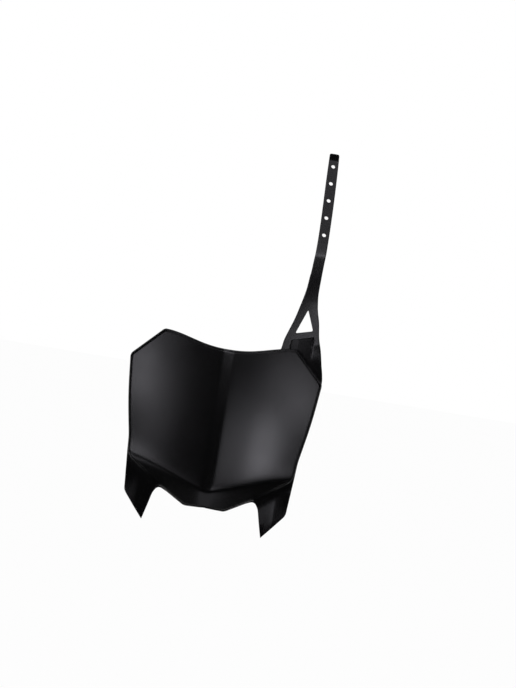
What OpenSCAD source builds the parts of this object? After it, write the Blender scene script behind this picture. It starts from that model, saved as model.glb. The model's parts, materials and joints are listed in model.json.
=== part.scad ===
// Racing number board: a one-piece moulded plate with a raised face, two legs and a holed strap.
// Seen from the front along +Y, with +X to the right; the origin is the bore of the rear lower tab.

/* [Outline] */
// Width across the two upper side corners
body_w = 243; // [224:0.1:262]
// Height of the upper side corners above the lower bore
corner_z = 151.7; // [140:0.1:160]
// Width across the two horns of the top edge
horn_w = 166.6; // [150:0.1:180]
// Height of the horns
horn_z = 190.3; // [184:0.1:205]
// Height of the top edge at its middle
top_z = 178.6; // [168:0.1:184]
// Width half way up the sides
middle_w = 232; // [226:0.1:236]
// Width at the waist, where the legs begin
waist_w = 213.8; // [208:0.1:220]
// Height of the waist
waist_z = 51; // [46:0.1:60]
// Width across the outer corners of the legs
leg_w = 205.4; // [196:0.1:211]
// Distance that these corners lie below the bore
leg_drop = 20; // [14:0.1:24]
// Width across the tips of the legs
tip_w = 151.4; // [144:0.1:158]
// Distance that the tips lie below the bore
tip_drop = 53; // [44:0.1:64]
// Width across the notches between chin and legs
notch_w = 114.6; // [110:0.1:120]
// Distance that the notches lie below the bore
notch_drop = 7.6; // [6:0.1:9.5]
// Width of the chin between its lower corners
chin_w = 52.4; // [44:0.1:60]
// Distance that the chin lies below the bore
chin_drop = 24.9; // [22:0.1:28]
// Rounding of the upper side corners
corner_r = 11; // [4:0.5:14]
// Rounding of the face's lower corners
face_corner_r = 18; // [8:0.5:20]

/* [Form of the sheet] */
// Wall of the moulding
wall = 2.4; // [1.8:0.1:3]
// Distance from the bore forward to the nose
nose_reach = 34; // [30:0.5:45]
// Angle that each wing sweeps back from the nose
wing_angle = 13; // [8:0.5:17]
// Radius that bends the wings further back
wing_r = 500; // [350:10:900]
// Width of the flat ridge along the nose
ridge_w = 12.4; // [8:0.2:16]
// Radius of the upright bow of the face
bow_r = 900; // [600:10:1500]
// Angle that the chin folds back
chin_angle = 40; // [25:1:46]
// Height of the chin fold at the middle
fold_z = 0.1; // [-2:0.1:1]
// Angle that the fold line rises towards the sides
fold_rise = 19.1; // [17:0.1:21]
// Radius that rounds the middle of the fold line
fold_round = 9; // [3:0.5:12]
// Distance that the ends of the fold line droop
fold_droop = 8; // [4:0.5:9]
// Softness of the folds
fold_soft = 1.9; // [0.8:0.1:3]
// Softness that the chin fold gains towards its ends
fold_spread = 2.5; // [0:0.5:4]
// Width of the folded band along the top of each leg
leg_band = 12; // [8:0.5:14]

/* [Rim and step] */
// Width of the rim around the raised face
rim_w = 2.6; // [2.2:0.1:3.4]
// Height of the face above the rim
face_step = 1.6; // [1:0.1:2]
// Depth of the groove between face and bead
groove_depth = 1.2; // [0.8:0.1:1.4]
// Distance that the bead around the face lies below it
bead_drop = 0.3; // [0.2:0.1:0.6]
// Height of the face above the legs
leg_step = 2.8; // [2.1:0.1:3.4]

/* [Ear and strap] */
// Distance of the strap's middle from the nose
strap_x = 91.5; // [89.5:0.1:93]
// Width of the strap at its foot
strap_foot_w = 14.4; // [12:0.1:17]
// Width of the strap at its tip
strap_tip_w = 12.4; // [11:0.1:14]
// Height at which the strap leaves the open frame
frame_z = 256; // [252:0.5:262]
// Height at which the strap starts to lean back
lean_z = 309; // [295:1:318]
// Length of the leaning strap, up to its bent tip
strap_len = 132.5; // [130:0.5:150]
// Length of the bent tip
tip_len = 15; // [8:0.5:18]
// Angle that the strap leans back
lean_angle = 25; // [15:1:35]
// Thickness of the strap
strap_t = 2.6; // [2:0.1:3.2]
// Angle that the strap turns outwards
strap_turn = 9; // [4:1:14]
// Distance that the strap moves outwards above its frame
strap_shift = 1.8; // [0:0.1:3]
// Distance that the strap's tip leans inwards again
strap_sway = 2.4; // [0:0.1:4]
// Distance that the ear lies behind the face
ear_step = 2.6; // [2.3:0.1:3]
// Depth of the pocket in the ear, at its upper end
pocket_depth = 2.4; // [1.6:0.1:3.4]
// Depth of the pocket at its lower end
pocket_lip = 0.8; // [0.4:0.1:1.2]
// Width of the opening in the strap's frame
window_w = 21.2; // [17:0.1:22]
// Height of that opening
window_h = 28; // [24:0.5:30]
// Diameter of the holes in the strap
hole_d = 5; // [4.5:0.1:7]
// Distance between these holes along the strap
hole_pitch = 23.8; // [20:0.1:25]
// Distance of the last hole from the bend of the tip
hole_end = 9; // [7:0.5:12]

/* [Rear mounts] */
// Diameter of the bore in the lower tab
bore_d = 6.5; // [4.5:0.1:8]
// Thickness of the lower tab
tab_t = 4; // [3:0.1:5]
// Width of the lower tab
tab_w = 22; // [18:0.5:26]
// Diameter of the stud that the strap buttons on
stud_d = 4.4; // [4:0.1:6]
// Diameter of the stud's head
stud_head_d = 8; // [7.5:0.1:10]
// Free length of the stud under its head
stud_len = 5; // [3.5:0.5:7]

/* [Hidden] */
$fn = 64;
plastic = [0.07, 0.07, 0.075];
holes = 5;

// Half-size values that the outline uses.
corner_x = body_w / 2;
horn_x = horn_w / 2;
waist_x = waist_w / 2;
notch_x = notch_w / 2;
chin_x = chin_w / 2;

// Smooth steps, ramps and curves shared by all surfaces.
function ease(t) = let (u = min(1, max(0, t))) u * u * (3 - 2 * u);
function ramp(t, soft) = (t + sqrt(t * t + 4 * soft * soft)) / 2;
function mix(a, b, t) = a + (b - a) * t;
function unit(v) = v / max(norm(v), 0.000001);
function flip(p) = [-p[0], p[1]];

// A rounded corner at b on the way from a to c, as a short curve.
function turned(a, b, c, reach, steps) =
    let (p = b + unit(a - b) * reach, q = b + unit(c - b) * reach)
    [for (i = [0:steps]) let (t = i / steps) mix(mix(p, b, t), mix(b, q, t), t)];

// Distance along a list of points, and the same list keyed evenly by it from one key to the next.
function lengths(p, i = 0, sum = 0) = i == len(p) - 1
    ? [sum]
    : concat([sum], lengths(p, i + 1, sum + norm(p[i + 1] - p[i])));
function keyed(p, first, last) = let (run = lengths(p), all = run[len(p) - 1])
    [for (i = [0:len(p) - 1]) [mix(first, last, run[i] / all), p[i][0], p[i][1]]];
function at(track, key) = [
    lookup(key, [for (k = track) [k[0], k[1]]]),
    lookup(key, [for (k = track) [k[0], k[2]]])
];
function tail(list) = [for (i = [1:len(list) - 1]) list[i]];

// Right half of the outer outline. Keys: 0 top middle, 1 horn, 2 side corner, 3 end of the chin fold,
// 4 leg side, 5 leg corner, 6 leg tip, 7 notch, 8 chin corner, 9 chin middle.
horn = [horn_x, horn_z];
side_corner = [corner_x, corner_z];
side_middle = [middle_w / 2, (corner_z + waist_z) / 2];
waist = [waist_x, waist_z];
leg_corner = [leg_w / 2, -leg_drop];
leg_tip = [tip_w / 2, -tip_drop];
notch = [notch_x, -notch_drop];
chin_corner = [chin_x, -chin_drop];
chin_rise = 2.4;
leg_start = 0.785;
face_low_share = 0.557;
notch_rim = 3.8;
horn_reach = 3;
chin_reach = 3;
leg_reach = 4.3;
top_steps = 10;
top_shape = 1.3;
fold_end_z = waist_z * leg_start;
fold_end = mix(waist, leg_corner, (waist_z - fold_end_z) / (waist_z + leg_drop));
leg_side = mix(fold_end, leg_corner, 0.3);
corner_reach = corner_r * tan(22);
function top_height(x) = mix(top_z, horn_z, pow((1 - cos(180 * min(1, abs(x) / horn_x))) / 2, top_shape));
top_edge = [for (i = [0:top_steps - 1]) let (x = horn_x * i / top_steps) [x, top_height(x)]];
corner_arc = turned(horn, side_corner, side_middle, corner_reach, 8);
leg_throat = notch + [9.5, -9];
chin_throat = notch + [-7.5, -3.6];
leg_arc = turned(leg_side, leg_corner, leg_tip, leg_reach, 6);
outer = concat(
    keyed(concat(top_edge, [horn - [horn_reach, 0.4]], [horn + [-0.6, -0.5]]), 0, 1),
    tail(keyed(concat([horn + [-0.6, -0.5]], [horn + [2, -2]], [for (i = [0:4]) corner_arc[i]]), 1, 2)),
    tail(keyed(concat([for (i = [4:8]) corner_arc[i]], turned(side_corner, side_middle, waist, 24, 6),
        turned(side_middle, waist, leg_corner, 5, 3), [fold_end]), 2, 3)),
    tail(keyed([fold_end, leg_side], 3, 4)),
    tail(keyed(concat([leg_side], [for (i = [0:3]) leg_arc[i]]), 4, 5)),
    tail(keyed(concat([for (i = [3:6]) leg_arc[i]], [leg_tip]), 5, 6)),
    tail(keyed(concat([leg_tip], [mix(leg_tip, leg_throat, 0.55) + [-0.2, 0]], [leg_throat],
        turned(leg_throat, notch + [3.5, 1.2], chin_throat, 6, 4)), 6, 7)),
    tail(keyed(concat([turned(leg_throat, notch + [3.5, 1.2], chin_throat, 6, 4)[4]], [chin_throat],
        [for (i = [0:2]) turned(chin_throat, chin_corner, [0, -chin_drop], chin_reach, 4)[i]]), 7, 8)),
    tail(keyed(concat([for (i = [2:4]) turned(chin_throat, chin_corner, [0, -chin_drop], chin_reach, 4)[i]],
        [[0, chin_rise - chin_drop]]), 8, 9))
);

// Right half of the raised face's lower edge, with the same keys from 3 on.
face_side = fold_end - [rim_w, 0];
face_low = [face_side[0] - 1, waist_z * face_low_share];
face_notch = notch + [0, notch_rim];
face_chin = chin_corner + [-0.9, rim_w];
face_reach = face_corner_r * tan(28);
face_arc = turned(face_side, face_low, face_notch, face_reach, 8);
face_mid = mix(face_low, face_notch, 0.6);
chin_arc = turned(face_notch, face_chin, [0, face_chin[1]], chin_reach, 4);
face = concat(
    keyed(concat([face_side], [for (i = [0:4]) face_arc[i]]), 3, 4),
    tail(keyed(concat([for (i = [4:8]) face_arc[i]], [mix(face_low, face_notch, 0.3)]), 4, 5)),
    tail(keyed([mix(face_low, face_notch, 0.3), face_mid], 5, 6)),
    tail(keyed([face_mid, face_notch], 6, 7)),
    tail(keyed(concat([face_notch], [for (i = [0:2]) chin_arc[i]]), 7, 8)),
    tail(keyed(concat([for (i = [2:4]) chin_arc[i]], [[0, face_chin[1] + chin_rise]]), 8, 9))
);

// Stations around the right half: along the top, down the side and back along the chin.
top_keys = [0, 0.06, 0.09, 0.12, 0.16, 0.23, 0.3, 0.37, 0.45, 0.54, 0.62, 0.7, 0.79, 0.87, 0.95, 1, 1.1, 1.35,
    1.62, 1.87, 2];
side_keys = [2.05, 2.14, 2.28, 2.44, 2.6, 2.75, 2.87, 2.94, 2.98, 3, 3.12, 3.35, 3.65, 4];
chin_keys = [4.4, 4.8, 5, 5.2, 5.6, 6, 6.35, 6.7, 6.9, 7, 7.15, 7.35, 7.65, 7.88, 8.05, 8.3, 8.55, 8.71,
    8.8, 9];
fold_row = 10;
columns = len(top_keys) - 1;
rows = len(side_keys);
stations = concat(top_keys, side_keys, chin_keys);
half = len(stations) - 1;
loop = 2 * half;

// Outward directions at the stations of a half ring, mirrored at both of its ends.
function outward(ring) = [for (i = [0:half])
    let (a = i == 0 ? flip(ring[1]) : ring[i - 1], b = i == half ? flip(ring[half - 1]) : ring[i + 1])
    unit([a[1] - b[1], b[0] - a[0]])];
function inset(ring, d) = let (n = outward(ring)) [for (i = [0:half]) ring[i] - n[i] * d];
outer_ring = [for (k = stations) at(outer, k)];
rim_inner = inset(outer_ring, rim_w);
face_ring = [for (i = [0:half]) stations[i] < 3 ? rim_inner[i] : at(face, stations[i])];

// Depth of the face, measured back from the bore: swept wings, bowed height and the folded chin.
ridge_soft = 0.9;
function sweep(x) = tan(wing_angle) * ramp(abs(x) - ridge_w / 2, ridge_soft) + x * x / (2 * wing_r);
bow_z = 80;
function bow(z) = pow(z - bow_z, 2) / (2 * bow_r);
function fold_height(x) = fold_z + tan(fold_rise) * (sqrt(x * x + fold_round * fold_round) - fold_round)
    - fold_droop * pow(x / waist_x, 4);
leg_run = face_low[0] - notch_x;
function leg_fold_height(x) =
    mix(face_low, face_notch, (face_low[0] - abs(x)) / leg_run)[1] - leg_band;
leg_crease_x = 87;
function leg_bend(x, z) = ramp(leg_fold_height(x) - z, fold_soft) * (tan(chin_angle) - 0.1)
    - 0.35 * ramp(abs(x) - leg_crease_x, 1) * ease((12 - z) / 24);
function chin_soft(x) = fold_soft + fold_spread * pow(x / waist_x, 2);
function depth(x, z) = sweep(x) + bow(z) - nose_reach
    + tan(chin_angle) * ramp(fold_height(x) - z, chin_soft(x)) - leg_bend(x, z);
function slant(x, z) = sqrt(1 + pow(depth(x + 0.5, z) - depth(x - 0.5, z), 2)
    + pow(depth(x, z + 0.5) - depth(x, z - 0.5), 2));
function lay(p, drop) = [p[0], depth(p[0], p[1]) + drop, p[1]];

// Inside of a ring as rows and columns that follow the top edge, the side, the fold and the chin.
function fold_points(ring) = let (end = ring[columns + fold_row])
    [for (k = [0:columns])
        let (u = k / columns,
            share = (ring[k][0] / ring[columns][0] + ring[half - k][0] / ring[columns + rows][0]) / 2,
            x = end[0] * share)
        [x, mix(fold_height(x), end[1], pow(u, 4))]];
function patch(a, b, u, side_a, side_b, side) =
    let (v = (side[1] - side_a[1]) / (side_b[1] - side_a[1]))
    mix(a, b, v) + (side - mix(side_a, side_b, v)) * u * u;
function half_grid(ring) = let (fold = fold_points(ring), c = columns)
    [for (r = [0:rows]) [for (k = [0:c]) r <= fold_row
        ? patch(fold[k], ring[k], k / c, ring[c + fold_row], ring[c], ring[c + r])
        : patch(fold[k], ring[half - k], k / c, ring[c + fold_row], ring[c + rows], ring[c + r])]];
function sheet(ring, wall_share, drop) = let (g = half_grid(ring))
    [for (r = [0:rows]) for (k = [-columns:columns])
        let (p = k < 0 ? flip(g[r][-k]) : g[r][k]) lay(p, drop + wall_share * wall * slant(p[0], p[1]))];

// One ring of the strip between the raised face and the outer edge. near is a distance from the face,
// or from the outer edge where it is negative, and share limits it where the strip is narrow. Beyond the
// bead the strip drops further where it widens into the legs.
bead_end = 2;
function strip(near, share, wall_share, drop) = [for (i = [0:loop - 1])
    let (j = i <= half ? i : loop - i, a = face_ring[j], b = outer_ring[j], l = norm(b - a),
        d = near < 0 ? l - min(-near, share * l) : min(near, share * l),
        q = mix(a, b, d / l), p = i <= half ? q : flip(q),
        on_rim = wall_share == 0 && near >= 0 && near <= bead_end,
        more = on_rim ? 0 : (leg_step - face_step) * ease((l - rim_w) / 14))
    lay(p, drop + more + wall_share * wall * slant(p[0], p[1]))];

bevel = 1.2;
edge_drop = 0.4;
lip = face_step;
front_ring = inset(face_ring, bevel);
back_ring = inset(face_ring, wall);
rings = [
    strip(0, 0, 0, edge_drop),
    strip(0.45, 0.18, 0, groove_depth),
    strip(1.1, 0.42, 0, bead_drop),
    strip(bead_end, 0.77, 0, bead_drop),
    strip(2.5, 0.89, 0, lip),
    strip(leg_band - 1.5, 0.91, 0, lip),
    strip(leg_band + 18, 0.93, 0, lip),
    strip(-1.1, 0.055, 0, lip),
    strip(-0.01, 0.001, 0, lip + 0.8),
    strip(-0.01, 0.001, 1, lip),
    strip(leg_band + 18, 0.7, 1, lip),
    strip(leg_band - 1.5, 0.55, 1, lip),
    strip(0.5, 0.2, 1, lip)
];

// Points and triangles of the closed moulding: front sheet, rings from front to back, rear sheet.
wide = 2 * columns + 1;
sheet_count = wide * (rows + 1);
function cell(r, k) = r * wide + k + columns;
function edge_cell(i) = let (j = i <= half ? i : loop - i, s = i <= half ? 1 : -1)
    j <= columns ? cell(0, s * j)
    : j <= columns + rows ? cell(j - columns, s * columns)
    : cell(rows, s * (half - j));
function ring_point(ring, i) = ring < 0
    ? edge_cell(i % loop)
    : ring == len(rings) ? sheet_count + len(rings) * loop + edge_cell(i % loop)
    : sheet_count + ring * loop + i % loop;
function quad(a, b, c, d, turn) = turn ? [[a, b, d], [b, c, d]] : [[a, b, c], [a, c, d]];
function flipped(t) = [t[2], t[1], t[0]];
moulding_points = concat(
    sheet(front_ring, 0, 0),
    [for (r = rings) each r],
    sheet(back_ring, 1, 0)
);
grid_faces = [for (r = [0:rows - 1]) for (k = [-columns:columns - 1])
    each quad(cell(r, k), cell(r, k + 1), cell(r + 1, k + 1), cell(r + 1, k), k < 0)];
back_start = sheet_count + len(rings) * loop;
moulding_faces = concat(
    grid_faces,
    [for (n = [-1:len(rings) - 1]) for (i = [0:loop - 1]) let (j = i + 1)
        each quad(ring_point(n, i), ring_point(n + 1, i), ring_point(n + 1, j), ring_point(n, j), i < half)],
    [for (t = grid_faces) flipped(t) + [back_start, back_start, back_start]]
);

// Ear, open frame and strap, as one ribbon with its own left and right edges over the height.
bend_z = lean_z + strap_len * cos(lean_angle);
tip_z = bend_z + tip_len * cos(lean_angle + 30);
foot_left = strap_x - strap_foot_w / 2;
foot_right = strap_x + strap_foot_w / 2;
frame_foot_z = horn_z + 13;
tip_x = strap_x + strap_shift - strap_sway;
tip_round = 3;

// The strap's side above the frame, where it moves outwards and narrows: height, share of the move and
// share of the narrowing.
bar_line = [[-20, 0.17, 0.15], [-8, 0.5, 0.3], [6, 0.92, 0.45], [24, 1, 0.55]];
bar_low = lean_z + bar_line[3][0];
function bar_side(side) = [for (b = bar_line)
    [lean_z + b[0], strap_x + strap_shift * b[1] + side * mix(strap_foot_w, strap_tip_w, b[2]) / 2]];
function bar_middle(z) = strap_x + strap_shift - strap_sway * max(0, z - bar_low) / (tip_z - bar_low);
left_edge = [
    [corner_z - 17, corner_x - 20], [corner_z - 2, corner_x - 33], [corner_z + 12, corner_x - 43],
    [horn_z - 12, horn_x - 13], [horn_z - 7, horn_x - 32.4], [horn_z - 4, horn_x - 28.9],
    [horn_z - 1, horn_x - 24.9], [horn_z + 2.5, horn_x - 22.2], [horn_z + 7, horn_x - 20],
    [horn_z + 15, horn_x - 18.8], [frame_z - 35, foot_left - 14.6], [frame_z - 19, foot_left - 8.6],
    [frame_z - 3, foot_left - 4.5], [frame_z + 12, foot_left - 1.7], [frame_z + 27, foot_left - 0.3],
    each bar_side(-1), [tip_z - tip_round, tip_x - strap_tip_w / 2],
    [tip_z - tip_round * 0.5, tip_x - strap_tip_w / 2 + tip_round * 0.13],
    [tip_z - tip_round * 0.13, tip_x - strap_tip_w / 2 + tip_round * 0.5],
    [tip_z, tip_x - strap_tip_w / 2 + tip_round]
];
right_edge = [
    [corner_z - 17, corner_x - 3], [corner_z - 6, corner_x - 1.4], [corner_z + 2, corner_x - 0.9],
    [corner_z + 10, corner_x - 1.9], [corner_z + 24, corner_x - 5.2], [corner_z + 53, corner_x - 13.5],
    [frame_z - 36, foot_right + 6.6], [frame_z - 8, foot_right + 1], [frame_z + 7, foot_right - 0.4],
    each bar_side(1), [tip_z - tip_round, tip_x + strap_tip_w / 2],
    [tip_z - tip_round * 0.5, tip_x + strap_tip_w / 2 - tip_round * 0.13],
    [tip_z - tip_round * 0.13, tip_x + strap_tip_w / 2 - tip_round * 0.5],
    [tip_z, tip_x + strap_tip_w / 2 - tip_round]
];
ear_turn_z = frame_foot_z + 12;
ear_root = 1.3;
ear_rise = 2.4;
ear_fall = 1.2;
function lean(z) = tan(3) * max(0, z - horn_z) + (tan(10) - tan(3)) * ramp(z - frame_z + 2, 1)
    + (tan(lean_angle) - tan(10)) * ramp(z - lean_z, 2)
    + (tan(lean_angle + 30) - tan(lean_angle)) * ramp(z - bend_z, 1);
function beyond_corner(x, z) = x + z - corner_x - corner_z;
function ear_drop(x, z) = mix(ear_root, ear_step, max(ease(beyond_corner(x, z) / 12 + 1),
        ease((z - top_height(x)) / ear_rise + 1))) + ear_fall * ease(beyond_corner(x, z) / 18);
function ear_depth(x, z) = let (t = ease((z - ear_turn_z) / (lean_z - ear_turn_z)),
        low = min(z, horn_z), y = mix(sweep(x), sweep(strap_x) + tan(strap_turn) * (x - strap_x), t))
    y + bow(low) - nose_reach + lean(z) + ear_drop(x, z);

// The ear falls back above the face's cut corner: this is the pocket, deepest at its upper end. The bar
// beside it comes forward again.
pocket_top = horn_z + 12;
pocket_low = horn_z - 18;
pocket_tilt = tan(14);
function tilt(x, z) = pocket_tilt * (x - strap_x)
    * ease((z - pocket_low) / 20) * (1 - ease((z - pocket_top - 22) / 22));
function pocket_foot(x) = min(horn_z, corner_x + corner_z - x) - 1;
pocket_slope = (pocket_depth - pocket_lip) / (pocket_top - horn_z + 2.6);
function pocket(x, z) = let (up = max(0, z - pocket_foot(x))) pocket_lip * ease(up / 2) + pocket_slope * up;
function bar_fall(x, z) = pocket(x, z) * (1 - ease((z - horn_z - 6) / 8));
pocket_left = strap_x - 18;
pocket_right = strap_x + 10.5;
pocket_wall = 1.2;
frame_bar = 9.5;
ribbon_z = [corner_z - 17, corner_z - 6, corner_z + 2, corner_z + 10, corner_z + 16, pocket_low, horn_z - 12,
    horn_z - 7, horn_z - 4, horn_z - 1, horn_z + 2.5, horn_z + 7, pocket_top, pocket_top + pocket_wall,
    pocket_top + frame_bar, frame_z - 35, frame_z - 27, frame_z - 19, frame_z - 11, frame_z - 4, frame_z,
    frame_z + 4, frame_z + 12, frame_z + 20, frame_z + 27, (frame_z + lean_z) / 2 + 8, lean_z - 4, lean_z,
    lean_z + 4, bar_low, (lean_z + bend_z) / 2, bend_z - 2, bend_z, bend_z + 2, tip_z - tip_round,
    tip_z - tip_round * 0.5, tip_z - tip_round * 0.13, tip_z];
last_row = len(ribbon_z) - 1;
ribbon_bevel = 0.6;
function in_pocket(z) = z > pocket_low && z < pocket_top + 0.1;
function across(z, spread) = let (l = lookup(z, left_edge), r = lookup(z, right_edge), b = 1.1,
        near_pocket = z > pocket_low - 1 && z < pocket_top + frame_bar,
        pl = near_pocket ? max(pocket_left - spread, l + b + 0.6) : l + (r - l) * 0.3,
        pr = near_pocket ? min(pocket_right + spread, r - b - 0.6) : l + (r - l) * 0.7)
    [l, l + b, pl, pl + pocket_wall, pr - pocket_wall, pr, r - b, r];
ribbon_wide = 8;
function ribbon_row(z, back) = let (xs = across(z, back ? wall : 0))
    [for (k = [0:ribbon_wide - 1])
        let (x = xs[k], edge = k == 0 || k == ribbon_wide - 1,
            sunk = k > 4 ? bar_fall(x, z) : k > 2 && in_pocket(z) ? pocket(x, z) : 0,
            t = strap_t * sqrt(1 + pow((lean(z + 0.5) - lean(z - 0.5)), 2)),
            y = ear_depth(x, z) + sunk + (back ? t - (edge ? ribbon_bevel : 0) : (edge ? ribbon_bevel : 0)))
        [x, y, z + tilt(x, z)]];
ribbon_points = concat(
    [for (z = ribbon_z) each ribbon_row(z, false)],
    [for (z = ribbon_z) each ribbon_row(z, true)]
);
ribbon_count = ribbon_wide * len(ribbon_z);
function spot(r, k, back) = r * ribbon_wide + k + (back ? ribbon_count : 0);
ribbon_faces = concat(
    [for (r = [0:last_row - 1]) for (k = [0:ribbon_wide - 2])
        let (a = spot(r, k, false), b = spot(r + 1, k, false))
        each quad(a, b, b + 1, a + 1, k < 4)],
    [for (r = [0:last_row - 1]) for (k = [0:ribbon_wide - 2])
        let (a = spot(r, k, true), b = spot(r + 1, k, true))
        each quad(a + 1, b + 1, b, a, k < 4)],
    [for (r = [0:last_row - 1])
        each quad(spot(r, 0, true), spot(r + 1, 0, true), spot(r + 1, 0, false), spot(r, 0, false), false)],
    [for (r = [0:last_row - 1]) let (k = ribbon_wide - 1)
        each quad(spot(r, k, false), spot(r + 1, k, false), spot(r + 1, k, true), spot(r, k, true), false)],
    [for (k = [0:ribbon_wide - 2])
        each quad(spot(0, k, true), spot(0, k, false), spot(0, k + 1, false), spot(0, k + 1, true), false)],
    [for (k = [0:ribbon_wide - 2])
        each quad(spot(last_row, k, false), spot(last_row, k, true), spot(last_row, k + 1, true),
            spot(last_row, k + 1, false), false)]
);

// Opening of the frame: a triangle with rounded corners.
window_z = pocket_top + frame_bar;
window_low_left = [strap_x - 14, window_z - 1.6];
window_low_right = window_low_left + [window_w, pocket_tilt * window_w];
window_apex = window_low_left + [11.2, window_h + 2.6];
function window_corner(a, b, c) = turned(a, b, c, 2.2, 4);

module window_cut() {
    rotate([90, 0, 0]) linear_extrude(body_w, center = true)
        polygon(concat(
            window_corner(window_apex, window_low_left, window_low_right),
            window_corner(window_low_left, window_low_right, window_apex),
            window_corner(window_low_right, window_apex, window_low_left)
        ));
}

module strap_holes() {
    for (i = [0:holes - 1]) {
        s = strap_len - hole_end - i * hole_pitch;
        z = lean_z + s * cos(lean_angle);
        x = bar_middle(z);
        translate([x, ear_depth(x, z), z])
            rotate([0, 0, strap_turn]) rotate([-90 - lean_angle, 0, 0])
                cylinder(d = hole_d, h = 16, center = true);
    }
}

// Lower tab on the back of the chin, with its two gussets and an upright bore. It is drawn in layers whose
// front edges follow the sheet, inside its wall.
tab_layers = 4;
tab_sink = wall * 0.6;
tab_front = -depth(tab_w / 2, 0) - tab_sink;
gusset_t = 3;
gusset_x = tab_w / 2 - gusset_t;
gusset_rise = 20;
gusset_run = 22;
gusset_root = [for (z = [gusset_rise:-4:0]) [depth(gusset_x + gusset_t / 2, z) + tab_sink, z]];

module tab_blank() {
    for (i = [0:tab_layers - 1]) {
        low = tab_t * (i / tab_layers - 0.5);
        front = [for (s = [-1:0.2:1]) [s * tab_w / 2, depth(s * tab_w / 2, low) + tab_sink]];
        translate([0, 0, low]) linear_extrude(tab_t / tab_layers)
            polygon(concat(front, [[tab_w / 2, 0], [-tab_w / 2, 0]]));
    }
    translate([0, 0, -tab_t / 2]) cylinder(d = tab_w, h = tab_t);
}

module gusset() {
    rotate([90, 0, 90]) linear_extrude(gusset_t)
        polygon(concat(gusset_root, [[gusset_run - tab_front, 0], gusset_root[0] + [1.6, 0]]));
}

module lower_tab() {
    difference() {
        union() {
            tab_blank();
            translate([-tab_w / 2, 0, 0]) gusset();
            translate([gusset_x, 0, 0]) gusset();
        }
        cylinder(d = bore_d, h = 4 * tab_t, center = true);
    }
}

// Stud behind the ear: the strap goes around the handlebar and buttons on it.
stud_z = corner_z + 10;
stud_x = strap_x + 4;
stud_head_t = 2;

module stud() {
    translate([stud_x, ear_depth(stud_x, stud_z) + strap_t / 2, stud_z]) rotate([-90, 0, 0]) {
        cylinder(d = stud_d, h = strap_t / 2 + stud_len + stud_head_t);
        translate([0, 0, strap_t / 2 + stud_len])
            cylinder(d1 = stud_head_d, d2 = stud_head_d - 2, h = stud_head_t);
    }
}

module moulding() {
    polyhedron(points = moulding_points, faces = moulding_faces, convexity = 8);
}

module strap() {
    difference() {
        polyhedron(points = ribbon_points, faces = ribbon_faces, convexity = 8);
        window_cut();
        strap_holes();
    }
}

module number_board() {
    color(plastic) {
        moulding();
        strap();
        lower_tab();
        stud();
    }
}

number_board();
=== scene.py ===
import json
import math

import bmesh
import bpy
import numpy as np
from mathutils import Matrix, Vector

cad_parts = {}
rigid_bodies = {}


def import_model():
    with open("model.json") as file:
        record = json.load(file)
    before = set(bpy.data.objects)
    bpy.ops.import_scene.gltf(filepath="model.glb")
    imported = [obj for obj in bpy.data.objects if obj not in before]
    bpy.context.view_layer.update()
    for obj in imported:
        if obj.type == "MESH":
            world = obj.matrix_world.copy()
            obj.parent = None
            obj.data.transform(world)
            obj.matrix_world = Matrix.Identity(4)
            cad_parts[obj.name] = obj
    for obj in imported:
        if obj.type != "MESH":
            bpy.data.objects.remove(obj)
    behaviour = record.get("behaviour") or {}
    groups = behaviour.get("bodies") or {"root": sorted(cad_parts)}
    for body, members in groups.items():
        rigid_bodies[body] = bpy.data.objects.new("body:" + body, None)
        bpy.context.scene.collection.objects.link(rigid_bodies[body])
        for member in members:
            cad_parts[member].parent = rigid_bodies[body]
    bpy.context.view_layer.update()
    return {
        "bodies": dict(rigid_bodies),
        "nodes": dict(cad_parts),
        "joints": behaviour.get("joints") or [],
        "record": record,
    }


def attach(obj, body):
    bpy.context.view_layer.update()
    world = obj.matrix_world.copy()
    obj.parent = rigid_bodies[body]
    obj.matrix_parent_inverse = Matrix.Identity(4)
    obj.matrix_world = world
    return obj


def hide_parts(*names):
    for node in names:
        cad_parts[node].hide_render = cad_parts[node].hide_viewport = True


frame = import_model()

scene = bpy.context.scene
mm = 0.001


# Node tools: addNode makes and links any node, and Value lets sockets be used in plain sums.

def addNode(tree, kind, settings=None, sockets=None):
    node = tree.nodes.new(kind)
    for key, value in (settings or {}).items():
        setattr(node, key, value)
    for key, value in (sockets or {}).items():
        target = node.inputs[key]
        if isinstance(value, Value):
            tree.links.new(value.socket, target)
        else:
            target.default_value = value
    return node


class Value:
    def __init__(self, socket):
        self.socket = socket

    def math(self, operation, *others):
        sockets = dict(enumerate((self, *others)))
        return Value(addNode(self.socket.id_data, "ShaderNodeMath", {"operation": operation}, sockets).outputs[0])

    def __add__(self, other):
        return self.math("ADD", other)

    def __sub__(self, other):
        return self.math("SUBTRACT", other)

    def __rsub__(self, other):
        return self.math("MULTIPLY_ADD", -1.0, other)

    def __mul__(self, other):
        return self.math("MULTIPLY", other)

    def __rmul__(self, other):
        return self.math("MULTIPLY", other)

    def __truediv__(self, other):
        return self.math("DIVIDE", other)

    def __pow__(self, other):
        return self.math("POWER", other)

    def root(self):
        return self.math("SQRT")

    def size(self):
        return self.math("ABSOLUTE")

    def most(self, other):
        return self.math("MAXIMUM", other)

    def ease(self):
        return Value(addNode(self.socket.id_data, "ShaderNodeMapRange", {"interpolation_type": "SMOOTHSTEP"},
                             {"Value": self}).outputs["Result"])

    def ramp(self, soft):
        return (self + (self * self + 4.0 * (soft * soft)).root()) * 0.5


# Camera: in front of the board and slightly above it, rolled as in the photograph.

cameraView = {
    "middle": (0.0338, -0.018, 0.1905),
    "distance": 3.5,
    "rise": 3.5,
    "turn": 0.0,
    "roll": 9.3,
    "frameHeight": 0.8497,
}


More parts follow.
